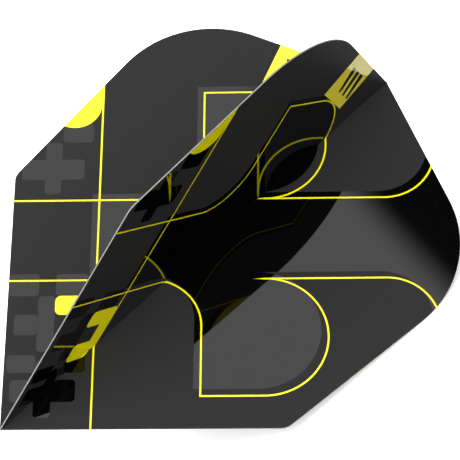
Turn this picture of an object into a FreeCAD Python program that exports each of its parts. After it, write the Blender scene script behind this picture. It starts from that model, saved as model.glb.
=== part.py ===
# Standard-shape dart flight: four wings at right angles round one spine.
#
# The flight is four folded films. Each film is creased along the spine and lines one
# quadrant, so every wing is two films back to back with a thin bond between them.
# X runs along the spine from the nose (0) to the tail, Z is up, and the four wings lean
# at 45 degrees. The origin is the nose end of the spine, where a stem takes hold.
#
# Each film is split at its creases, because the creases are living hinges: the strips at
# the spine stay put and the plies on the wings turn.

import FreeCAD, Part
import math
import os

import Sketcher

doc = FreeCAD.newDocument("DartFlight")

# ---------------------------------------------------------------- driving dimensions

SIZES = {
    "spine_length": 46.0,          # nose to tail along the spine
    "front_edge_angle": 45.0,      # front edge from the spine, degrees
    "shoulder_reach": 16.65,       # nose to the sharp front corner, along the spine
    "front_corner_radius": 1.45,
    "outer_edge_angle": 5.24,      # outer edge widens towards the tail, degrees
    "rear_corner_radius": 9.8,
    "rear_edge_angle": 111.9,      # rear edge from the spine direction, degrees
    "film_thickness": 0.065,
    "bond_thickness": 0.02,
    "crease_radius": 0.05,         # inside of the fold, on the printed side
}

sheet = doc.addObject("Spreadsheet::Sheet", "Sizes")
for row, (alias, value) in enumerate(SIZES.items(), start=1):
    cell = "B%d" % row
    sheet.set("A%d" % row, alias)
    sheet.set(cell, str(value))
    sheet.setAlias(cell, alias)
doc.recompute()

# Distance from the spine to each wing's fold line, where the flat plies begin.
FOLD_OFFSET = "Sizes.bond_thickness / 2 + Sizes.film_thickness + Sizes.crease_radius"
fold_offset = sheet.bond_thickness / 2 + sheet.film_thickness + sheet.crease_radius

# Wings and films in turn round the spine; angles are from +Y towards +Z.
WINGS = {"upper_left": 45.0, "upper_right": 135.0, "lower_right": 225.0, "lower_left": 315.0}
FILMS = ["top", "right", "bottom", "left"]      # film i lies between wing i and wing i + 1


# ---------------------------------------------------------------- wing outline

def wing_points():
    """Corners and arcs of the wing outline: x along the spine, y out from it."""
    front = math.radians(sheet.front_edge_angle)
    outer = math.radians(sheet.outer_edge_angle)
    rear = math.radians(sheet.rear_edge_angle)
    reach = sheet.shoulder_reach
    length = sheet.spine_length
    shoulder = FreeCAD.Vector(reach, reach * math.tan(front), 0)
    # outer edge: shoulder + k * (cos, sin);  rear edge: tail + m * (cos, sin)
    k = (shoulder.y - math.tan(rear) * (shoulder.x - length)) / (
        math.tan(rear) * math.cos(outer) - math.sin(outer))
    heel = shoulder + FreeCAD.Vector(math.cos(outer), math.sin(outer), 0) * k
    tail = FreeCAD.Vector(length, 0, 0)
    return front, outer, rear, shoulder, heel, tail


def rounded_corner(corner, towards_back, towards_front, radius):
    """Arc centre and its two tangent points, for a rounded corner between two edges."""
    back = FreeCAD.Vector(towards_back)
    ahead = FreeCAD.Vector(towards_front)
    half_turn = (math.pi - back.getAngle(ahead)) / 2
    run = radius * math.tan(half_turn)
    first = corner + back * run
    last = corner + ahead * run
    bisector = (back + ahead).normalize()
    centre = corner + bisector * math.hypot(radius, run)
    return first, centre, last


def add_wing_sketch(body, label):
    """Fully constrained outline of one wing, from the fold line outwards."""
    front, outer, rear, shoulder, heel, tail = wing_points()
    along_front = FreeCAD.Vector(math.cos(front), math.sin(front), 0)
    along_outer = FreeCAD.Vector(math.cos(outer), math.sin(outer), 0)
    along_rear = FreeCAD.Vector(math.cos(rear), math.sin(rear), 0)
    nose_in = along_front * (fold_offset / math.sin(front))
    tail_in = tail + along_rear * (fold_offset / math.sin(rear))
    f1, fc, f2 = rounded_corner(shoulder, -along_front, along_outer, sheet.front_corner_radius)
    r1, rc, r2 = rounded_corner(heel, -along_outer, -along_rear, sheet.rear_corner_radius)

    sketch = body.newObject("Sketcher::SketchObject", label)
    plane = next(f for f in body.Origin.OriginFeatures if f.Role == "XY_Plane")
    sketch.AttachmentSupport = [(plane, "")]
    sketch.MapMode = "FlatFace"

    normal = FreeCAD.Vector(0, 0, 1)

    def arc(centre, radius, start, end):
        a0 = math.atan2(start.y - centre.y, start.x - centre.x)
        a1 = math.atan2(end.y - centre.y, end.x - centre.x)
        return Part.ArcOfCircle(Part.Circle(centre, normal, radius), a0, a1)

    FRONT, CORNER, OUTER, HEEL, REAR, ROOT = range(6)
    sketch.addGeometry(Part.LineSegment(nose_in, f1))
    sketch.addGeometry(arc(fc, sheet.front_corner_radius, f2, f1))
    sketch.addGeometry(Part.LineSegment(f2, r1))
    sketch.addGeometry(arc(rc, sheet.rear_corner_radius, r2, r1))
    sketch.addGeometry(Part.LineSegment(r2, tail_in))
    sketch.addGeometry(Part.LineSegment(tail_in, nose_in))
    shoulder_point = sketch.addGeometry(Part.Point(shoulder), True)
    tail_point = sketch.addGeometry(Part.Point(tail), True)

    START, END, X_AXIS, ORIGIN_POINT = 1, 2, -1, (-1, 1)
    fixed = [
        ("Tangent", FRONT, END, CORNER, END),
        ("Tangent", CORNER, START, OUTER, START),
        ("Tangent", OUTER, END, HEEL, END),
        ("Tangent", HEEL, START, REAR, START),
        ("Coincident", REAR, END, ROOT, START),
        ("Coincident", ROOT, END, FRONT, START),
        ("Horizontal", ROOT),
        ("PointOnObject",) + ORIGIN_POINT + (FRONT,),
        ("PointOnObject", shoulder_point, START, FRONT),
        ("PointOnObject", shoulder_point, START, OUTER),
        ("PointOnObject", tail_point, START, X_AXIS),
        ("PointOnObject", tail_point, START, REAR),
    ]
    for item in fixed:
        sketch.addConstraint(Sketcher.Constraint(*item))

    driven = [
        (("DistanceY",) + ORIGIN_POINT + (FRONT, START, fold_offset), FOLD_OFFSET),
        (("DistanceX",) + ORIGIN_POINT + (shoulder_point, START, shoulder.x),
         "Sizes.shoulder_reach"),
        (("DistanceX",) + ORIGIN_POINT + (tail_point, START, tail.x), "Sizes.spine_length"),
        (("Radius", CORNER, sheet.front_corner_radius), "Sizes.front_corner_radius"),
        (("Radius", HEEL, sheet.rear_corner_radius), "Sizes.rear_corner_radius"),
        (("Angle", FRONT, front), "Sizes.front_edge_angle * 1 deg"),
        (("Angle", OUTER, outer), "Sizes.outer_edge_angle * 1 deg"),
        (("Angle", REAR, rear - math.pi), "(Sizes.rear_edge_angle - 180) * 1 deg"),
    ]
    for item, expression in driven:
        index = sketch.addConstraint(Sketcher.Constraint(*item))
        sketch.setExpression("Constraints[%d]" % index, expression)
    return sketch


# ---------------------------------------------------------------- the pieces

def wing_plate(label, wing_angle, thickness, lift):
    """A flat plate with the wing's outline; lift is its distance from the mid plane."""
    body = doc.addObject("PartDesign::Body", label)
    body.Label = label
    sketch = add_wing_sketch(body, label + "_outline")
    pad = body.newObject("PartDesign::Pad", label + "_pad")
    pad.Profile = sketch
    pad.setExpression("Length", thickness)
    sketch.Visibility = False
    turn = FreeCAD.Rotation(FreeCAD.Vector(1, 0, 0), wing_angle)
    body.Placement = FreeCAD.Placement(turn.multVec(FreeCAD.Vector(0, 0, lift)), turn)
    return body


def crease_strip(label, middle_angle):
    """The rounded fold of one film: a quarter of a thin tube, its back to the spine."""
    outer = doc.addObject("Part::Cylinder", label + "_outer")
    inner = doc.addObject("Part::Cylinder", label + "_inner")
    for tube, radius in ((outer, "Sizes.crease_radius + Sizes.film_thickness"),
                         (inner, "Sizes.crease_radius")):
        tube.setExpression("Radius", radius)
        tube.setExpression("Height", "Sizes.spine_length - 2 * (%s)" % FOLD_OFFSET)
        tube.Angle = 90
    strip = doc.addObject("Part::Cut", label)
    strip.Label = label
    strip.Base = outer
    strip.Tool = inner
    # Turning the tube's Z to X leaves its quarter centred on -45 degrees round X, and
    # half a turn from the middle angle faces it back to the spine.
    along_x = FreeCAD.Rotation(FreeCAD.Vector(0, 1, 0), 90)
    quarter = FreeCAD.Rotation(FreeCAD.Vector(1, 0, 0), middle_angle + 180.0 + 45.0)
    out = FreeCAD.Vector(0, math.cos(math.radians(middle_angle)),
                         math.sin(math.radians(middle_angle)))
    centre = out * (fold_offset * math.sqrt(2)) + FreeCAD.Vector(fold_offset, 0, 0)
    strip.Placement = FreeCAD.Placement(centre, quarter.multiply(along_x))
    return strip


def bond_core(label):
    """The bond that fills the small channel between the backs of the four creases."""
    core = doc.addObject("Part::Feature", label)
    core.Label = label
    half_gap = sheet.bond_thickness / 2
    radius = sheet.crease_radius + sheet.film_thickness
    edges = []
    for quadrant in range(4):
        turn = FreeCAD.Rotation(FreeCAD.Vector(1, 0, 0), 90 * quadrant + 45)
        near = turn.multVec(FreeCAD.Vector(0, fold_offset, half_gap))
        bow = fold_offset - radius / math.sqrt(2)
        middle = turn.multVec(FreeCAD.Vector(0, bow, bow))
        far = turn.multVec(FreeCAD.Vector(0, half_gap, fold_offset))
        tip = turn.multVec(FreeCAD.Vector(0, -half_gap, fold_offset))
        edges.append(Part.Arc(near, middle, far).toShape())
        edges.append(Part.LineSegment(far, tip).toShape())
    face = Part.Face(Part.Wire(edges))
    run = FreeCAD.Vector(sheet.spine_length - 2 * fold_offset, 0, 0)
    core.Shape = face.extrude(run)
    core.Placement = FreeCAD.Placement(FreeCAD.Vector(fold_offset, 0, 0), FreeCAD.Rotation())
    return core


pieces = []
wing_names = list(WINGS)
for i, (wing, angle) in enumerate(WINGS.items()):
    film_after = FILMS[i]               # lies on the side turned towards the next wing
    film_before = FILMS[i - 1]
    half_bond = sheet.bond_thickness / 2
    pieces.append(wing_plate("%s_film_on_%s_wing" % (film_after, wing), angle,
                             "Sizes.film_thickness", half_bond))
    pieces.append(wing_plate("%s_film_on_%s_wing" % (film_before, wing), angle,
                             "Sizes.film_thickness", -half_bond - sheet.film_thickness))
    pieces.append(wing_plate("bond_in_%s_wing" % wing, angle,
                             "Sizes.bond_thickness", -half_bond))
for i, film in enumerate(FILMS):
    middle = WINGS[wing_names[i]] + 45.0
    pieces.append(crease_strip("%s_film_crease" % film, middle))
pieces.append(bond_core("bond_core"))

doc.recompute()

# ---------------------------------------------------------------- checks and files

for item in doc.Objects:
    if "Invalid" in item.State or "Error" in item.State:
        raise RuntimeError("%s did not rebuild: %s" % (item.Label, item.State))

os.makedirs("parts", exist_ok=True)
for piece in pieces:
    shape = piece.Shape
    if shape.isNull() or not shape.isValid():
        raise RuntimeError("%s has no valid shape" % piece.Label)
    if shape.Volume <= 0:
        raise RuntimeError("%s has no volume" % piece.Label)
    box = shape.BoundBox
    print("%-36s %8.3f mm3  x %.2f..%.2f  y %.3f..%.3f  z %.3f..%.3f" % (
        piece.Label, shape.Volume, box.XMin, box.XMax, box.YMin, box.YMax, box.ZMin, box.ZMax))
    shape.exportStep("parts/%s.step" % piece.Label)
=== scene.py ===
import math

import bpy
from mathutils import Matrix, Vector


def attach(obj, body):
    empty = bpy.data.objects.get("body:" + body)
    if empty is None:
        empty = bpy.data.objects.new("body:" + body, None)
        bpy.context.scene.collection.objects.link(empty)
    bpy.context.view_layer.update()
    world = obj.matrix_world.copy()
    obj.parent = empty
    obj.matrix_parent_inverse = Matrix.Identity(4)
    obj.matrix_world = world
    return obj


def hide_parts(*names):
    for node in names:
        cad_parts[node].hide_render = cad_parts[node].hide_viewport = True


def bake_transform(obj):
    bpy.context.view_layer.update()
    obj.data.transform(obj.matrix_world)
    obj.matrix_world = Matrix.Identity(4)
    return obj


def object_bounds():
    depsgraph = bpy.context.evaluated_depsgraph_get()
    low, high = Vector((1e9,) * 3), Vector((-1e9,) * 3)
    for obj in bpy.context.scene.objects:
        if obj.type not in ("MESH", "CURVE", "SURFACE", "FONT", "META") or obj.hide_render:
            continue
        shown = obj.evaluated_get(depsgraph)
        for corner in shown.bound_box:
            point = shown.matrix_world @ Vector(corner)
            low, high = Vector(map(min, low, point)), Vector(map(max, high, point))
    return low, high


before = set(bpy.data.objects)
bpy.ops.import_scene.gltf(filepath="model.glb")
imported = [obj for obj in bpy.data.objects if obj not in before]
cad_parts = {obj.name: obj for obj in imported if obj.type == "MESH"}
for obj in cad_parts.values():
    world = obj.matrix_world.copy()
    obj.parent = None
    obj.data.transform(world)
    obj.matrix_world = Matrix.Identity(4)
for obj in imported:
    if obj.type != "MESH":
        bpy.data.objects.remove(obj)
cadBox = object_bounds()
mm = 0.001


# Small helpers for nodes

def calc(tree, operation, *values, clamp=False):
    node = tree.nodes.new("ShaderNodeMath")
    node.operation = operation
    node.use_clamp = clamp
    for socket, value in zip(node.inputs, values):
        feed(tree, socket, value)
    return node.outputs[0]


def feed(tree, socket, value):  # a socket is linked, anything else is set
    if isinstance(value, bpy.types.NodeSocket):
        tree.links.new(value, socket)
    else:
        socket.default_value = value


def vectorCalc(tree, operation, *values):
    node = tree.nodes.new("ShaderNodeVectorMath")
    node.operation = operation
    for socket, value in zip(node.inputs, values):
        feed(tree, socket, value)
    single = operation in ("LENGTH", "DOT_PRODUCT", "DISTANCE")
    return node.outputs["Value" if single else "Vector"]


def nearest(tree, distances):  # union of shapes
    result = distances[0]
    for distance in distances[1:]:
        result = calc(tree, "MINIMUM", result, distance)
    return result


def overlap(tree, distances):  # intersection of shapes
    result = distances[0]
    for distance in distances[1:]:
        result = calc(tree, "MAXIMUM", result, distance)
    return result


def split(tree, vector):
    node = tree.nodes.new("ShaderNodeSeparateXYZ")
    feed(tree, node.inputs[0], vector)
    return node.outputs["X"], node.outputs["Y"], node.outputs["Z"]


def splitFlat(tree, point):     # a point on the flat film has no height
    return split(tree, point)[:2]


def join(tree, x, y, z=0.0):
    node = tree.nodes.new("ShaderNodeCombineXYZ")
    for socket, value in zip(node.inputs, (x, y, z)):
        feed(tree, socket, value)
    return node.outputs[0]


def mixColour(tree, factor, first, second):
    node = tree.nodes.new("ShaderNodeMix")
    node.data_type = "RGBA"
    feed(tree, node.inputs["Factor"], factor)
    feed(tree, node.inputs[6], first)
    feed(tree, node.inputs[7], second)
    return node.outputs[2]


def mixValue(tree, factor, first, second):
    node = tree.nodes.new("ShaderNodeMix")
    feed(tree, node.inputs["Factor"], factor)
    feed(tree, node.inputs[2], first)
    feed(tree, node.inputs[3], second)
    return node.outputs[0]


def fade(tree, value, low, high, atLow=1.0, atHigh=0.0):
    node = tree.nodes.new("ShaderNodeMapRange")
    node.interpolation_type = "SMOOTHSTEP"
    for socket, item in zip(node.inputs, (value, low, high, atLow, atHigh)):
        feed(tree, socket, item)
    return node.outputs[0]


def noise(tree, place, scale, detail=2.0, roughness=0.5):
    node = tree.nodes.new("ShaderNodeTexNoise")
    feed(tree, node.inputs["Vector"], place)
    node.inputs["Scale"].default_value = scale
    node.inputs["Detail"].default_value = detail
    node.inputs["Roughness"].default_value = roughness
    return node.outputs["Fac"]


def newGroup(name, inputs, outputs):
    tree = bpy.data.node_groups.new(name, "ShaderNodeTree")
    for label, kind, value in inputs:
        socket = tree.interface.new_socket(label, in_out="INPUT", socket_type=kind)
        if value is not None:
            socket.default_value = value
    for label, kind in outputs:
        tree.interface.new_socket(label, in_out="OUTPUT", socket_type=kind)
    given = tree.nodes.new("NodeGroupInput").outputs
    made = tree.nodes.new("NodeGroupOutput").inputs
    return tree, given, made


def place(tree, group, *values):
    node = tree.nodes.new("ShaderNodeGroup")
    node.node_tree = group
    for socket, value in zip(node.inputs, values):
        if value is not None:
            feed(tree, socket, value)
    return node.outputs


# Node groups for the print, all in millimetres on the flat film

numberKind = "NodeSocketFloat"
vectorKind = "NodeSocketVector"


def makeBlockGroup():
    tree, given, made = newGroup(
        "printed block",
        [("Point", vectorKind, None), ("Centre", vectorKind, None), ("Half Size", vectorKind, None),
         ("Corner", numberKind, 0.1)],
        [("Distance", numberKind)])
    off = vectorCalc(tree, "SUBTRACT", given["Point"], given["Centre"])
    off = vectorCalc(tree, "ABSOLUTE", off)
    past = vectorCalc(tree, "SUBTRACT", off, given["Half Size"])
    x, y = splitFlat(tree, past)
    x = calc(tree, "ADD", x, given["Corner"])
    y = calc(tree, "ADD", y, given["Corner"])
    outside = vectorCalc(tree, "LENGTH", join(tree, calc(tree, "MAXIMUM", x, 0.0),
                                              calc(tree, "MAXIMUM", y, 0.0)))
    inside = calc(tree, "MINIMUM", calc(tree, "MAXIMUM", x, y), 0.0)
    total = calc(tree, "ADD", outside, inside)
    tree.links.new(calc(tree, "SUBTRACT", total, given["Corner"]), made["Distance"])
    return tree


def makeDiscGroup():
    tree, given, made = newGroup(
        "printed disc",
        [("Point", vectorKind, None), ("Centre", vectorKind, None), ("Radius", numberKind, 1.0)],
        [("Distance", numberKind)])
    away = vectorCalc(tree, "DISTANCE", given["Point"], given["Centre"])
    tree.links.new(calc(tree, "SUBTRACT", away, given["Radius"]), made["Distance"])
    return tree


block = makeBlockGroup()
disc = makeDiscGroup()


def addBlock(tree, point, left, right, low, high, corner=0.12):
    centre = ((left + right) / 2, (low + high) / 2, 0.0)
    half = ((right - left) / 2, (high - low) / 2, 0.0)
    return place(tree, block, point, centre, half, corner)[0]


panel = {                       # the big rounded panels, measured on the flat film
    "middle": 17.24,            # height of the mirror line
    "startX": 7.45,             # upright rule near the nose
    "bandHalf": 3.81,
    "sideX": 16.42,
    "topHalf": 14.41,
    "bowlX": 21.75,
    "bowlHalf": 9.11,
    "bowlRadius": 5.3,
    "filletX": 12.02,
    "flareX": 32.0,
    "filletHalf": 8.21,
    "filletRadius": 4.4,
    "tipX": 20.9,
    "tipSlope": 0.09,
    "ruleHalf": 0.073,          # half of a printed rule's width
    "glossShift": (-0.6, 0.6),  # the gloss coat is off register with the rules
    "inkEdge": 0.03,
    "beforeFilm": -5.0,         # off the film, where a band or a corner runs out
    "pastFilm": 60.0,
}


def makeRuleGroup():            # yellow rules round the panels
    tree, given, made = newGroup("yellow rules", [("Point", vectorKind, None)],
                                 [("Distance", numberKind)])
    half = panel["ruleHalf"]
    x, y = splitFlat(tree, given["Point"])
    up = calc(tree, "ABSOLUTE", calc(tree, "SUBTRACT", y, panel["middle"]))
    folded = join(tree, x, up)

    def ring(centreX, centreUp, radius):
        away = place(tree, disc, folded, (centreX, centreUp, 0.0), radius)[0]
        return calc(tree, "SUBTRACT", calc(tree, "ABSOLUTE", away), half)

    def bar(left, right, low, high):
        return addBlock(tree, folded, left - half, right + half, low - half, high + half, 0.0)

    upright = calc(tree, "SUBTRACT", calc(
        tree, "ABSOLUTE", calc(tree, "SUBTRACT", x, panel["startX"])), half)
    below = calc(tree, "SUBTRACT", up, panel["filletHalf"])
    fillet = overlap(tree, [
        ring(panel["filletX"], panel["filletHalf"], panel["filletRadius"]), below,
        calc(tree, "SUBTRACT", panel["filletX"], x)])
    flare = overlap(tree, [
        ring(panel["flareX"], panel["filletHalf"], panel["filletRadius"]), below,
        calc(tree, "SUBTRACT", panel["flareX"], x)])
    bowl = overlap(tree, [
        ring(panel["bowlX"], panel["bowlHalf"], panel["bowlRadius"]),
        calc(tree, "SUBTRACT", panel["bowlX"], x)])
    offRule = calc(tree, "ABSOLUTE", calc(tree, "SUBTRACT", up, panel["bandHalf"]))
    pastTip = calc(tree, "SUBTRACT", x, panel["tipX"])
    point = overlap(tree, [           # the rule that starts in a sharp point
        calc(tree, "SUBTRACT", offRule, half),
        calc(tree, "MULTIPLY_ADD", pastTip, -panel["tipSlope"], offRule),
        calc(tree, "SUBTRACT", x, panel["flareX"])])
    shapes = [
        upright, fillet, flare, bowl,
        bar(panel["beforeFilm"], panel["filletX"], panel["bandHalf"], panel["bandHalf"]),
        point,
        bar(panel["sideX"], panel["sideX"], panel["filletHalf"], panel["topHalf"]),
        bar(panel["sideX"], panel["bowlX"], panel["topHalf"], panel["topHalf"]),
    ]
    tree.links.new(nearest(tree, shapes), made["Distance"])
    return tree


def makePanelGroup():           # gloss panels inside the rules
    tree, given, made = newGroup("gloss panels", [("Point", vectorKind, None)],
                                 [("Distance", numberKind)])
    moved = vectorCalc(tree, "SUBTRACT", given["Point"], panel["glossShift"] + (0.0,))
    x, y = splitFlat(tree, moved)
    up = calc(tree, "ABSOLUTE", calc(tree, "SUBTRACT", y, panel["middle"]))
    folded = join(tree, x, up)
    band = overlap(tree, [calc(tree, "SUBTRACT", up, panel["bandHalf"]),
                          calc(tree, "SUBTRACT", panel["startX"], x)])
    side = addBlock(tree, folded, panel["sideX"], panel["bowlX"], 0.0, panel["topHalf"], 0.0)
    bowl = place(tree, disc, folded, (panel["bowlX"], panel["bowlHalf"], 0.0),
                 panel["bowlRadius"])[0]

    def corner(centreX, limitX):
        hollow = place(tree, disc, folded, (centreX, panel["filletHalf"], 0.0),
                       panel["filletRadius"])[0]
        return overlap(tree, [
            calc(tree, "MULTIPLY", hollow, -1.0),
            calc(tree, "SUBTRACT", up, panel["filletHalf"]),
            calc(tree, "SUBTRACT", centreX, x),
            calc(tree, "SUBTRACT", x, limitX)])

    fillet = corner(panel["filletX"], panel["bowlX"])
    flare = corner(panel["flareX"], panel["pastFilm"])
    beyond = calc(tree, "SUBTRACT", panel["flareX"] + panel["filletRadius"], x)
    shapes = [band, side, bowl, fillet, flare, beyond]
    tree.links.new(nearest(tree, shapes), made["Distance"])
    return tree


blocks = {                      # left, right, low, high
    "gloss": [
        (4.05, 6.75, 26.78, 28.6),
        (2.62, 4.05, 21.7, 26.75),
        (0.6, 6.05, 23.1, 25.07),
        (0.0, 2.62, 12.0, 14.05),
        (4.05, 6.8, 12.0, 14.05),
        (2.62, 4.05, 6.9, 12.0),
        (0.65, 2.62, 8.4, 10.3),
        (0.2, 2.6, 5.0, 6.6),
        (4.05, 6.8, 5.0, 6.9),
        (2.62, 4.05, 1.0, 6.05),
        (0.6, 6.05, 2.4, 4.37),
    ],
    "yellow": [
        (4.05, 7.45, 10.25, 12.0),
        (6.05, 7.45, 7.3, 12.0),
        (4.05, 6.85, 6.4, 8.4),
    ],
    "glossCorner": 0.35,
    "yellowCorner": 0.5,
    "tabX": (4.1, 7.5),         # yellow tab with a round foot
    "tabFoot": (5.05, 30.55, 2.3),
}


def makeGlossBlockGroup():
    tree, given, made = newGroup("gloss blocks", [("Point", vectorKind, None)],
                                 [("Distance", numberKind)])
    shapes = [addBlock(tree, given["Point"], *sides, blocks["glossCorner"])
              for sides in blocks["gloss"]]
    tree.links.new(nearest(tree, shapes), made["Distance"])
    return tree


def makeYellowBlockGroup():
    tree, given, made = newGroup("yellow blocks", [("Point", vectorKind, None)],
                                 [("Distance", numberKind)])
    point = given["Point"]
    x, y = splitFlat(tree, point)
    shapes = [addBlock(tree, point, *sides, blocks["yellowCorner"])
              for sides in blocks["yellow"]]
    footX, footY, footRadius = blocks["tabFoot"]
    foot = place(tree, disc, point, (footX, footY, 0.0), footRadius)[0]
    tab = nearest(tree, [foot, calc(tree, "SUBTRACT", footY, y)])
    left, right = blocks["tabX"]
    shapes.append(overlap(tree, [tab, calc(tree, "SUBTRACT", left, x),
                                 calc(tree, "SUBTRACT", x, right)]))
    tree.links.new(nearest(tree, shapes), made["Distance"])
    return tree


label = {                       # yellow label along the rear edge, from the tail corner
    "corner": (32.5, 32.5, 0.0),
    "along": (-0.9195, 0.3931, 0.0),
    "into": (-0.3931, -0.9195, 0.0),
    "start": 5.06,
    "end": 10.13,
    "depth": 4.5,
    "pastEdge": -2.0,           # the label runs off the film at its rear edge
    "barStarts": (6.35, 7.5, 8.65),
    "barHalf": 0.53,            # half of a bar's width at the rear edge
    "barTaper": 0.09,           # how much narrower it is for each millimetre inwards
    "barSlant": 0.35,
    "barLow": 1.1,
    "barHigh": 3.5,
}


def makeLabelGroup():           # the label, and three slanted bars printed on it
    tree, given, made = newGroup("rear label", [("Point", vectorKind, None)],
                                 [("Distance", numberKind), ("Bars", numberKind)])
    off = vectorCalc(tree, "SUBTRACT", given["Point"], label["corner"])
    along = vectorCalc(tree, "DOT_PRODUCT", off, label["along"])
    into = vectorCalc(tree, "DOT_PRODUCT", off, label["into"])
    here = join(tree, along, into)
    sheet = addBlock(tree, here, label["start"], label["end"],
                     label["pastEdge"], label["depth"], 0.0)
    leaned = calc(tree, "ADD", along, calc(
        tree, "MULTIPLY", calc(tree, "SUBTRACT", into, label["barLow"]), label["barSlant"]))
    taper = calc(tree, "MULTIPLY", into, label["barTaper"])
    low = calc(tree, "SUBTRACT", label["barLow"], into)
    high = calc(tree, "SUBTRACT", into, label["barHigh"])
    bars = []
    for start in label["barStarts"]:
        side = calc(tree, "ABSOLUTE", calc(tree, "SUBTRACT", leaned, start))
        side = calc(tree, "SUBTRACT", calc(tree, "ADD", side, taper), label["barHalf"])
        bars.append(overlap(tree, [side, low, high]))
    tree.links.new(sheet, made["Distance"])
    tree.links.new(nearest(tree, bars), made["Bars"])
    return tree


yellowRules = makeRuleGroup()
glossPanels = makePanelGroup()
glossBlocks = makeGlossBlockGroup()
yellowBlocks = makeYellowBlockGroup()
rearLabel = makeLabelGroup()

wingShape = {                   # one wing, as in the CAD, in millimetres and degrees
    "spineLength": 46.0,
    "frontAngle": 45.0,
    "shoulderReach": 16.65,
    "shoulderRadius": 1.45,
    "shoulderSegments": 8,
    "outerAngle": 5.24,
    "heelRadius": 9.8,
    "heelSegments": 24,
    "rearAngle": 111.9,
    "film": 0.065,
    "bond": 0.02,
    "creaseRadius": 0.05,
    "creaseSegments": 8,
    "halfFold": 45.0,           # each half of a film turns through half a right angle
    "printScale": 40.0,         # the print map's full width
    "heelBlend": 6.0,           # how softly the edge distances meet at the heel
    "smoothAngle": 30.0,
    "rimArea": 1.0,             # a face between these two areas, in mm2, is shaded smooth
    "plyArea": 30.0,
}


def makeEdgeGroup():            # how far a point of the film is from its cut edge
    tree, given, made = newGroup("cut edge", [("Point", vectorKind, None)],
                                 [("Inset", numberKind), ("Crease", numberKind)])
    x, y = splitFlat(tree, given["Point"])
    root = 1 / math.sqrt(2)
    along = calc(tree, "MULTIPLY", calc(tree, "ADD", x, y), root)
    out = calc(tree, "MULTIPLY", calc(tree, "ABSOLUTE", calc(tree, "SUBTRACT", x, y)), root)
    outer = math.radians(wingShape["outerAngle"])
    rear = math.radians(wingShape["rearAngle"])
    reach = wingShape["shoulderReach"]
    rise = reach * math.cos(outer) - reach * math.sin(outer)
    front = calc(tree, "MINIMUM", x, y)
    side = calc(tree, "ADD", calc(tree, "MULTIPLY", along, math.sin(outer)),
                calc(tree, "MULTIPLY_ADD", out, -math.cos(outer), rise))
    back = calc(tree, "MULTIPLY_ADD", along, -math.sin(rear),
                wingShape["spineLength"] * math.sin(rear))
    back = calc(tree, "MULTIPLY_ADD", out, math.cos(rear), back)
    inset = calc(tree, "SMOOTH_MIN", side, back, wingShape["heelBlend"])
    tree.links.new(calc(tree, "MINIMUM", front, inset), made["Inset"])
    tree.links.new(out, made["Crease"])
    return tree


cutEdge = makeEdgeGroup()

grain = {                       # scales are per millimetre
    "toothScale": 18.0,
    "toothDetail": 2.0,
    "toothRoughness": 0.7,
    "waveScale": 0.12,
    "waveDetail": 1.0,
    "dustScale": 9.0,
    "dustPeaks": (0.76, 0.80),  # only the peaks of the noise are specks
    "patchScale": 0.7,
    "patchDetail": 4.0,
    "patchRoughness": 0.65,
}


def makeGrainGroup():           # fine tooth, soft waviness and dust, used by film and bond
    tree, given, made = newGroup(
        "film grain",
        [("Place", vectorKind, None), ("Tooth", numberKind, grain["toothScale"]),
         ("Wave", numberKind, grain["waveScale"])],
        [("Tooth", numberKind), ("Wave", numberKind), ("Dust", numberKind),
         ("Patch", numberKind)])

    def layer(scale, detail, rough=0.5):
        spread = vectorCalc(tree, "SCALE", given["Place"])
        feed(tree, spread.node.inputs["Scale"], scale)
        return noise(tree, spread, 1.0, detail, rough)

    tooth = layer(given["Tooth"], grain["toothDetail"], grain["toothRoughness"])
    tree.links.new(tooth, made["Tooth"])
    tree.links.new(layer(given["Wave"], grain["waveDetail"]), made["Wave"])
    specks = fade(tree, layer(grain["dustScale"], 0.0), *grain["dustPeaks"], 0.0, 1.0)
    tree.links.new(specks, made["Dust"])
    patch = layer(grain["patchScale"], grain["patchDetail"], grain["patchRoughness"])
    tree.links.new(patch, made["Patch"])
    return tree


filmGrain = makeGrainGroup()
print("node groups made")

filmInk = {
    "blackGloss": (0.0006, 0.0006, 0.0006, 1.0),
    "blackSatin": (0.0212, 0.0212, 0.0212, 1.0),
    "blackSatinWorn": (0.0242, 0.0242, 0.0242, 1.0),
    "yellow": (0.95, 0.86, 0.002, 1.0),
    "label": (0.93, 0.80, 0.06, 1.0),
    "bars": (0.02, 0.02, 0.004, 1.0),
    "wear": (0.42, 0.42, 0.41, 1.0),
    "satinRoughness": 0.34,
    "satinShine": 0.015,
    "varnishedRoughness": 0.05,
    "coatRoughness": 0.02,
    "ior": 1.5,
    "toothScale": 14.0,
    "waveScale": 0.16,
    "dustShare": 0.02,
    "rubWidth": 0.06,           # rubbed in patches along the cut edge, in millimetres
    "rubPatches": (0.48, 0.66),
    "rubShare": 0.25,
    "bareCrease": (0.12, 0.18),     # no varnish nearer to the spine than this
    "patchyRoughness": 0.08,
    "wornRoughness": 0.3,
    "toothHeight": 0.0016,
    "waveHeight": 0.03,
    "glossHeight": 0.0015,
    "bump": 0.6,
}


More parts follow.
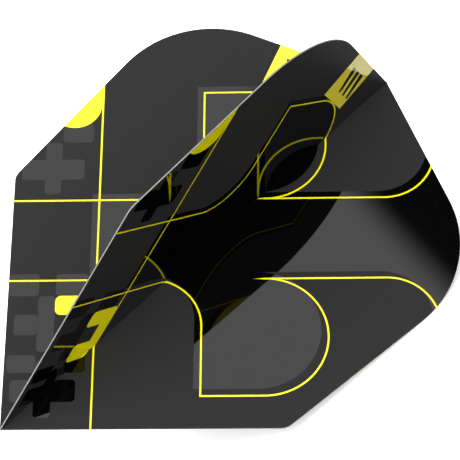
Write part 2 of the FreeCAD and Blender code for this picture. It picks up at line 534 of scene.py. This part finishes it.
def makeFilmMaterial():
    material = bpy.data.materials.new("printedFilm")
    material.use_nodes = True
    tree = material.node_tree
    shader = tree.nodes["Principled BSDF"]
    flat = tree.nodes.new("ShaderNodeUVMap")
    flat.uv_map = "print"
    point = vectorCalc(tree, "MULTIPLY", flat.outputs[0], (wingShape["printScale"],) * 3)
    soft = panel["inkEdge"]

    rules = fade(tree, place(tree, yellowRules, point)[0], -soft, soft)
    shapes = fade(tree, place(tree, yellowBlocks, point)[0], -soft, soft)
    panels = fade(tree, place(tree, glossPanels, point)[0], -soft, soft)
    motifs = fade(tree, place(tree, glossBlocks, point)[0], -soft, soft)
    labelDistance, barDistance = place(tree, rearLabel, point)
    sheet = fade(tree, labelDistance, -soft, soft)
    bars = fade(tree, barDistance, -soft, soft)
    x, y = splitFlat(tree, point)
    leftHalf = calc(tree, "GREATER_THAN", y, x)
    sheet = calc(tree, "MULTIPLY", sheet, leftHalf)
    bars = calc(tree, "MULTIPLY", bars, sheet)

    inset, crease = place(tree, cutEdge, point)
    tooth, wave, dust, patch = place(
        tree, filmGrain, point, filmInk["toothScale"], filmInk["waveScale"])

    gloss = calc(tree, "MAXIMUM", panels, motifs)
    yellow = calc(tree, "MAXIMUM", rules, shapes)
    inked = calc(tree, "MAXIMUM", yellow, sheet)

    satin = mixColour(tree, patch, filmInk["blackSatin"], filmInk["blackSatinWorn"])
    ground = mixColour(tree, gloss, satin, filmInk["blackGloss"])
    specks = calc(tree, "MULTIPLY", dust, filmInk["dustShare"])
    ground = mixColour(tree, specks, ground, filmInk["wear"])
    ink = mixColour(tree, yellow, ground, filmInk["yellow"])
    ink = mixColour(tree, sheet, ink, filmInk["label"])
    ink = mixColour(tree, bars, ink, filmInk["bars"])
    rub = fade(tree, inset, 0.0, filmInk["rubWidth"])
    rub = calc(tree, "MULTIPLY", rub, fade(tree, patch, *filmInk["rubPatches"], 0.0, 1.0))
    worn = calc(tree, "MULTIPLY", rub, filmInk["rubShare"])
    ink = mixColour(tree, worn, ink, filmInk["wear"])
    tree.links.new(ink, shader.inputs["Base Color"])

    varnish = calc(tree, "MAXIMUM", gloss, inked)
    varnish = calc(tree, "SUBTRACT", varnish, worn, clamp=True)
    offCrease = fade(tree, crease, *filmInk["bareCrease"], 0.0, 1.0)
    varnish = calc(tree, "MULTIPLY", varnish, offCrease)
    rough = calc(tree, "MULTIPLY_ADD", patch, filmInk["patchyRoughness"],
                 filmInk["satinRoughness"])
    rough = mixValue(tree, varnish, rough, filmInk["varnishedRoughness"])
    wornRough = calc(tree, "MULTIPLY", worn, filmInk["wornRoughness"])
    rough = calc(tree, "ADD", rough, wornRough, clamp=True)
    tree.links.new(rough, shader.inputs["Roughness"])
    tree.links.new(varnish, shader.inputs["Coat Weight"])
    shader.inputs["Coat Roughness"].default_value = filmInk["coatRoughness"]
    shader.inputs["Coat IOR"].default_value = filmInk["ior"]
    shader.inputs["IOR"].default_value = filmInk["ior"]
    shader.inputs["Specular IOR Level"].default_value = filmInk["satinShine"]

    toothHeight = calc(tree, "MULTIPLY", tooth, calc(tree, "SUBTRACT", 1.0, varnish))
    height = calc(tree, "MULTIPLY", toothHeight, filmInk["toothHeight"])
    height = calc(tree, "MULTIPLY_ADD", wave, filmInk["waveHeight"], height)
    height = calc(tree, "MULTIPLY_ADD", gloss, filmInk["glossHeight"], height)
    bump = tree.nodes.new("ShaderNodeBump")
    bump.inputs["Strength"].default_value = filmInk["bump"]
    bump.inputs["Distance"].default_value = mm
    tree.links.new(height, bump.inputs["Height"])
    tree.links.new(bump.outputs[0], shader.inputs["Normal"])
    return material


bondLook = {
    "pale": (0.34, 0.34, 0.33, 1.0),
    "dull": (0.25, 0.25, 0.24, 1.0),
    "roughness": 0.45,
    "ior": 1.5,
    "skin": 0.0,
    "hingeGap": 0.012,
}
coreLook = {                    # the film's own plastic, seen at its cut edges
    "pale": (0.27, 0.27, 0.26, 1.0),
    "dull": (0.20, 0.20, 0.193, 1.0),
    "roughness": 0.4,
    "ior": 1.55,
    "skin": 0.62,               # how deep the dark print reaches, 1 at the back of the film
}
cutFinish = {                   # what both have in common
    "toothScale": 20.0,
    "dust": (0.2, 0.2, 0.2, 1.0),
    "dustShare": 0.3,
    "ragged": 0.3,
    "skinSoft": 0.08,
    "toothRoughness": 0.15,
    "roughnessOffset": -0.07,
    "toothHeight": 0.006,
    "bump": 0.5,
}


def makePaleMaterial(name, look):   # cut edges of the film, and the bond between its plies
    material = bpy.data.materials.new(name)
    material.use_nodes = True
    tree = material.node_tree
    shader = tree.nodes["Principled BSDF"]
    where = tree.nodes.new("ShaderNodeTexCoord").outputs["Object"]
    point = vectorCalc(tree, "MULTIPLY", where, (1 / mm,) * 3)
    made = place(tree, filmGrain, point, cutFinish["toothScale"])
    tooth, patch = made["Tooth"], made["Patch"]
    body = mixColour(tree, patch, look["dull"], look["pale"])
    specks = calc(tree, "MULTIPLY", made["Dust"], cutFinish["dustShare"])
    body = mixColour(tree, specks, body, cutFinish["dust"])
    if look["skin"] > 0:            # the dark print shows as a skin along the cut
        depth = tree.nodes.new("ShaderNodeAttribute")
        depth.attribute_name = "depth"
        ragged = calc(tree, "MULTIPLY_ADD", calc(tree, "SUBTRACT", patch, 0.5),
                      cutFinish["ragged"], depth.outputs["Fac"])
        skin = fade(tree, ragged, look["skin"] - cutFinish["skinSoft"],
                    look["skin"] + cutFinish["skinSoft"])
        body = mixColour(tree, skin, body, filmInk["bars"])
    tree.links.new(body, shader.inputs["Base Color"])
    rough = calc(tree, "MULTIPLY_ADD", tooth, cutFinish["toothRoughness"],
                 look["roughness"] + cutFinish["roughnessOffset"])
    tree.links.new(rough, shader.inputs["Roughness"])
    shader.inputs["IOR"].default_value = look["ior"]
    bump = tree.nodes.new("ShaderNodeBump")
    bump.inputs["Strength"].default_value = cutFinish["bump"]
    bump.inputs["Distance"].default_value = mm
    height = calc(tree, "MULTIPLY", tooth, cutFinish["toothHeight"])
    tree.links.new(height, bump.inputs["Height"])
    tree.links.new(bump.outputs[0], shader.inputs["Normal"])
    return material


printedFilm = makeFilmMaterial()
filmCore = makePaleMaterial("filmCore", coreLook)
bondMaterial = makePaleMaterial("bond", bondLook)
print("materials made")


# One half of a film: a ply and half of its crease

mesh = {                        # in millimetres
    "roughSize": 60.0,          # the plane that a wing is cut from
    "mergeWithin": 1e-4,
    "atCorner": 0.05,
    "slack": 0.01,
    "foldSlack": 0.001,
}


def onlyThis(piece):
    bpy.ops.object.select_all(action="DESELECT")
    piece.select_set(True)
    bpy.context.view_layer.objects.active = piece


def finishModifiers(piece):
    onlyThis(piece)
    for modifier in list(piece.modifiers):
        bpy.ops.object.modifier_apply(modifier=modifier.name)


def setPlace(piece):
    onlyThis(piece)
    bpy.ops.object.transform_apply(location=True, rotation=True, scale=True)


def selectVertices(piece, wanted):
    for item in piece.data.polygons:
        item.select = False
    for item in piece.data.edges:
        item.select = False
    count = 0
    for vertex in piece.data.vertices:
        vertex.select = bool(wanted(vertex.co / mm))
        count += vertex.select
    return count


def cornerPoints():
    front = math.radians(wingShape["frontAngle"])
    outer = math.radians(wingShape["outerAngle"])
    rear = math.radians(wingShape["rearAngle"])
    reach = wingShape["shoulderReach"]
    shoulder = Vector((reach, reach * math.tan(front), 0.0))
    tail = Vector((wingShape["spineLength"], 0.0, 0.0))
    run = (shoulder.y - math.tan(rear) * (shoulder.x - tail.x)) / (
        math.tan(rear) * math.cos(outer) - math.sin(outer))
    heel = shoulder + Vector((math.cos(outer), math.sin(outer), 0.0)) * run
    return shoulder, heel, tail


def roundCorner(piece, corner, before, after, radius, segments):
    turn = before.angle(after)
    run = radius * math.tan(turn / 2)
    centre = corner + (after - before).normalized() * math.hypot(radius, run)
    found = selectVertices(
        piece, lambda p: (Vector((p.x, p.y, 0.0)) - corner).length < mesh["atCorner"])
    assert found == 1, found
    bpy.ops.object.mode_set(mode="EDIT")
    bpy.ops.mesh.select_mode(type="VERT")
    bpy.ops.mesh.bevel(offset=run * mm, segments=segments, affect="VERTICES")
    bpy.ops.object.mode_set(mode="OBJECT")
    height = piece.data.vertices[0].co.z
    for vertex in piece.data.vertices:      # the bevel's own curve is a little too flat
        spot = Vector((vertex.co.x, vertex.co.y, 0.0)) / mm
        if (spot - corner).length < run + mesh["slack"]:
            spot = centre + (spot - centre).normalized() * radius
            vertex.co = Vector((spot.x * mm, spot.y * mm, height))


def makeFlatSheet(name, startAt, level):    # the wing's outline, from startAt outwards
    size = mesh["roughSize"]
    middle = wingShape["spineLength"] / 2
    bpy.ops.object.select_all(action="DESELECT")
    bpy.ops.mesh.primitive_plane_add(
        size=size * mm, location=(middle * mm, (startAt + size / 2) * mm, level * mm))
    piece = bpy.context.active_object
    piece.name = name
    setPlace(piece)
    shoulder, heel, tail = cornerPoints()
    front = (shoulder - Vector()).normalized()
    outer = (heel - shoulder).normalized()
    rear = (tail - heel).normalized()
    bpy.ops.object.mode_set(mode="EDIT")
    for through, along in ((Vector(), front), (shoulder, outer), (heel, rear)):
        bpy.ops.mesh.select_all(action="SELECT")
        bpy.ops.mesh.bisect(
            plane_co=(through.x * mm, through.y * mm, level * mm),
            plane_no=(-along.y, along.x, 0.0), clear_outer=True,
            threshold=mesh["mergeWithin"] * mm)
    bpy.ops.object.mode_set(mode="OBJECT")
    roundCorner(piece, shoulder, front, outer,
                wingShape["shoulderRadius"], wingShape["shoulderSegments"])
    roundCorner(piece, heel, outer, rear, wingShape["heelRadius"], wingShape["heelSegments"])
    for old in list(piece.data.uv_layers):
        piece.data.uv_layers.remove(old)
    return piece


def makeWall(piece, thickness, back):       # back is the slot that the back and the rim take
    wall = piece.modifiers.new("wall", "SOLIDIFY")
    wall.thickness = thickness * mm
    wall.offset = -1.0
    wall.use_even_offset = True
    wall.material_offset = back
    wall.material_offset_rim = back
    finishModifiers(piece)


# how far the flat part of a ply starts from the middle of the spine
foldAt = wingShape["bond"] / 2 + wingShape["film"] + wingShape["creaseRadius"]


def makeHalfFilm(name):
    piece = makeFlatSheet(name, foldAt, wingShape["bond"] / 2 + wingShape["film"])
    shoulder, heel, tail = cornerPoints()
    foldLine = foldAt + mesh["foldSlack"]
    selectVertices(piece, lambda p: p.y < foldLine)
    for edge in piece.data.edges:
        edge.select = all(piece.data.vertices[v].select for v in edge.vertices)
    bpy.ops.object.mode_set(mode="EDIT")
    bpy.ops.mesh.select_mode(type="EDGE")
    bpy.ops.mesh.spin(
        steps=wingShape["creaseSegments"], angle=math.radians(wingShape["halfFold"]),
        center=(0.0, foldAt * mm, foldAt * mm), axis=(1.0, 0.0, 0.0))
    bpy.ops.mesh.select_all(action="SELECT")
    bpy.ops.mesh.remove_doubles(threshold=mesh["mergeWithin"] * mm)
    bpy.ops.mesh.normals_make_consistent(inside=False)
    bpy.ops.object.mode_set(mode="OBJECT")
    ply = max(piece.data.polygons, key=lambda p: p.area)
    if ply.normal.z < 0:
        onlyThis(piece)
        bpy.ops.object.mode_set(mode="EDIT")
        bpy.ops.mesh.select_all(action="SELECT")
        bpy.ops.mesh.flip_normals()
        bpy.ops.object.mode_set(mode="OBJECT")

    flatOut = {}                # distance from the spine on the flat film, for each vertex
    for vertex in piece.data.vertices:
        y, z = vertex.co.y / mm, vertex.co.z / mm
        out = y
        if y < foldAt - mesh["mergeWithin"]:
            turned = math.degrees(math.atan2(foldAt - y, foldAt - z))
            out = foldAt * (1 - turned / wingShape["halfFold"])
            atTail = vertex.co.x / mm > wingShape["spineLength"] / 2
            slope = (heel - tail) / heel.y if atTail else shoulder / shoulder.y
            start = tail.x if atTail else 0.0
            vertex.co.x = (start + slope.x * out) * mm     # the ends run on to the crease line
        flatOut[vertex.index] = out
    printMap = piece.data.uv_layers.new(name="print")
    root = 1 / math.sqrt(2) / wingShape["printScale"]
    for loop in piece.data.loops:
        along = piece.data.vertices[loop.vertex_index].co.x / mm
        out = flatOut[loop.vertex_index]
        printMap.data[loop.index].uv = ((along - out) * root, (along + out) * root)

    piece.data.materials.append(printedFilm)
    piece.data.materials.append(filmCore)
    coreSlot = 1
    frontCount = len(piece.data.vertices)
    makeWall(piece, wingShape["film"], coreSlot)
    depth = piece.data.attributes.new("depth", "FLOAT", "POINT")
    for vertex in piece.data.vertices:      # 0 on the printed face, 1 on the back
        depth.data[vertex.index].value = 0.0 if vertex.index < frontCount else 1.0
    bpy.ops.object.shade_smooth_by_angle(angle=math.radians(wingShape["smoothAngle"]))
    for face in piece.data.polygons:
        if face.area > wingShape["rimArea"] * mm * mm:
            face.use_smooth = face.area < wingShape["plyArea"] * mm * mm
    return piece


def copyPiece(piece, name):
    twin = piece.copy()
    twin.data = piece.data.copy()
    twin.name = name
    twin.data.name = name
    bpy.context.scene.collection.objects.link(twin)
    return twin


def makeOtherHalf(piece, name):     # the mirrored half, with the other side of the print
    twin = copyPiece(piece, name)
    twin.scale = (1.0, 1.0, -1.0)
    setPlace(twin)
    bpy.ops.object.mode_set(mode="EDIT")
    bpy.ops.mesh.select_all(action="SELECT")
    bpy.ops.mesh.normals_make_consistent(inside=False)
    bpy.ops.object.mode_set(mode="OBJECT")
    printMap = twin.data.uv_layers["print"]
    for corner in printMap.data:
        corner.uv = (corner.uv.y, corner.uv.x)
    return twin


def makeBondSheet(name):            # a small gap leaves it room to turn beside the core
    piece = makeFlatSheet(name, foldAt + bondLook["hingeGap"], wingShape["bond"] / 2)
    piece.data.materials.append(bondMaterial)
    makeWall(piece, wingShape["bond"], 0)
    return piece


# Eight half films round the spine

wingNames = ["upper_left", "upper_right", "lower_right", "lower_left"]
wingAngles = [45.0, 135.0, 225.0, 315.0]      # from +Y towards +Z
filmNames = ["top", "right", "bottom", "left"]


def hangOnWing(piece, film, wing):
    angle = wingAngles[wing]
    piece.rotation_euler = (math.radians(angle), 0.0, 0.0)
    setPlace(piece)
    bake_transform(piece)
    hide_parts(filmNames[film] + "_film_on_" + wingNames[wing] + "_wing",
                filmNames[film] + "_film_crease")


leftHalf = makeHalfFilm("top_film_left_half")
rightHalf = makeOtherHalf(leftHalf, "top_film_right_half")
halves = []
for film, name in enumerate(filmNames):
    left, right = leftHalf, rightHalf
    if film > 0:
        left = copyPiece(leftHalf, name + "_film_left_half")
        right = copyPiece(rightHalf, name + "_film_right_half")
    halves.append((left, right))
for film, (left, right) in enumerate(halves):
    hangOnWing(left, film, film)
    hangOnWing(right, film, (film + 1) % 4)
print("films folded and hung:", 2 * len(halves))

bondSheets = [makeBondSheet("upper_left_bond_sheet")]
for name in wingNames[1:]:
    bondSheets.append(copyPiece(bondSheets[0], name + "_bond_sheet"))
for name, angle, piece in zip(wingNames, wingAngles, bondSheets):
    piece.rotation_euler = (math.radians(angle), 0.0, 0.0)
    setPlace(piece)
    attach(piece, name + "_wing")
    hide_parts("bond_in_" + name + "_wing")
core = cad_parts["bond_core"]
core.data.materials.clear()
core.data.materials.append(bondMaterial)
print("bond sheets hung:", len(bondSheets))

studio = {
    "cameraPlace": (-0.02332, -0.1502, 0.06698),
    "forward": (0.2878, 0.8736, -0.3924),
    "up": (0.6409, 0.1288, 0.7568),
    "lens": 156.8,
    "sensor": 36.0,
    "light": 1.75,
    "white": (1.0, 1.0, 1.0, 1.0),
    "dark": (0.02, 0.02, 0.02, 1.0),
    "key": 2.1,                 # how much brighter the sky is on the key side
    "fill": 1.0,                # share of the key that also comes low from the front
    "dimEnds": 0.8,             # keeps the sky off the wings when seen along the spine
    "floorSize": 4.0,
    "floorDrop": 0.02,          # millimetres between the flight and the floor
    "floor": 0.7,
    "floorCloud": 0.01,
    "cloudScale": 30.0,
    "cloudDetail": 3.0,
    "floorRoughness": 0.9,
    "floorBounce": 0.04,
    "floorGlow": 0.35,          # softens the shadow on the floor
}


def makeCamera():
    data = bpy.data.cameras.new("camera")
    data.lens = studio["lens"]
    data.sensor_width = studio["sensor"]
    data.clip_start = mm
    camera = bpy.data.objects.new("camera", data)
    bpy.context.scene.collection.objects.link(camera)
    forward = Vector(studio["forward"]).normalized()
    up = Vector(studio["up"])
    up = (up - forward * up.dot(forward)).normalized()
    right = forward.cross(up)
    turn = Matrix((right, up, -forward)).transposed()
    camera.matrix_world = Matrix.Translation(studio["cameraPlace"]) @ turn.to_4x4()
    bpy.context.scene.camera = camera


def grey(level):
    return (level, level, level, 1.0)


def makeFloor():
    level = cadBox[0].z - studio["floorDrop"] * mm
    bpy.ops.object.select_all(action="DESELECT")
    bpy.ops.mesh.primitive_plane_add(size=studio["floorSize"], location=(0.0, 0.0, level))
    floor = bpy.context.active_object
    floor.name = "floor"
    setPlace(floor)
    material = bpy.data.materials.new("paleFloor")
    material.use_nodes = True
    tree = material.node_tree
    shader = tree.nodes["Principled BSDF"]
    where = tree.nodes.new("ShaderNodeTexCoord").outputs["Object"]
    cloud = noise(tree, where, studio["cloudScale"], studio["cloudDetail"])
    ray = tree.nodes.new("ShaderNodeLightPath").outputs
    tone = mixColour(tree, cloud, grey(studio["floor"] - studio["floorCloud"]),
                     grey(studio["floor"] + studio["floorCloud"]))
    tone = mixColour(tree, ray["Is Diffuse Ray"], tone, grey(studio["floorBounce"]))
    tone = mixColour(tree, ray["Is Camera Ray"], tone, studio["white"])
    tree.links.new(tone, shader.inputs["Base Color"])
    shader.inputs["Roughness"].default_value = studio["floorRoughness"]
    shader.inputs["Specular IOR Level"].default_value = 0.0
    shader.inputs["Emission Color"].default_value = studio["white"]
    glow = calc(tree, "MULTIPLY", ray["Is Camera Ray"], studio["floorGlow"])
    tree.links.new(glow, shader.inputs["Emission Strength"])
    floor.data.materials.append(material)


sky = {                         # where each part of the sky fades, along x, y or z
    "gapFrom": (0.3345, 0.354),     # a dark gap, seen as a band in the gloss
    "gapTo": (0.58, 0.64),
    "gapOver": (0.30, 0.38),
    "patchAhead": (-0.62, -0.50),   # a dark patch low in front
    "patchUnder": (0.50, 0.58),
    "patchOver": (0.22, 0.30),
    "patchFrom": (0.02, 0.10),
    "patchTo": (0.46, 0.54),
    "ends": (0.70, 0.90),
    "keySide": (-0.16, -0.02),
    "fillAhead": (-0.62, -0.50),
    "fillUnder": (0.46, 0.60),
    "horizon": (-0.10, 0.05),
}


def makeLight():
    world = bpy.data.worlds.new("studio")
    bpy.context.scene.world = world
    world.use_nodes = True
    tree = world.node_tree
    background = tree.nodes["Background"]
    where = tree.nodes.new("ShaderNodeTexCoord").outputs["Generated"]
    x, y, z = split(tree, where)

    def under(value, limits):       # 1 below the limits, 0 above them
        return fade(tree, value, *limits)

    def over(value, limits):
        return fade(tree, value, *limits, 0.0, 1.0)

    def together(first, *others):
        for other in others:
            first = calc(tree, "MULTIPLY", first, other)
        return first

    seen = tree.nodes.new("ShaderNodeLightPath").outputs["Is Camera Ray"]
    unseen = calc(tree, "SUBTRACT", 1.0, seen)
    gap = together(over(x, sky["gapFrom"]), under(x, sky["gapTo"]), over(z, sky["gapOver"]))
    patch = together(
        under(y, sky["patchAhead"]), under(z, sky["patchUnder"]), over(z, sky["patchOver"]),
        over(x, sky["patchFrom"]), under(x, sky["patchTo"]))
    ends = fade(tree, calc(tree, "ABSOLUTE", x), *sky["ends"], 0.0, studio["dimEnds"])
    shaded = calc(tree, "MAXIMUM", calc(tree, "MAXIMUM", gap, patch), ends)
    shaded = together(shaded, unseen)

    key = together(under(x, sky["keySide"]), over(z, sky["horizon"]))
    fill = together(under(y, sky["fillAhead"]), under(z, sky["fillUnder"]),
                    over(z, sky["horizon"]), studio["fill"])
    lit = together(calc(tree, "MAXIMUM", key, fill), unseen)
    colour = mixColour(tree, lit, studio["white"], grey(studio["key"]))
    colour = mixColour(tree, shaded, colour, studio["dark"])
    tree.links.new(colour, background.inputs["Color"])
    background.inputs["Strength"].default_value = studio["light"]


makeCamera()
makeFloor()
makeLight()
bpy.context.scene.view_settings.view_transform = "Standard"
print("studio made")
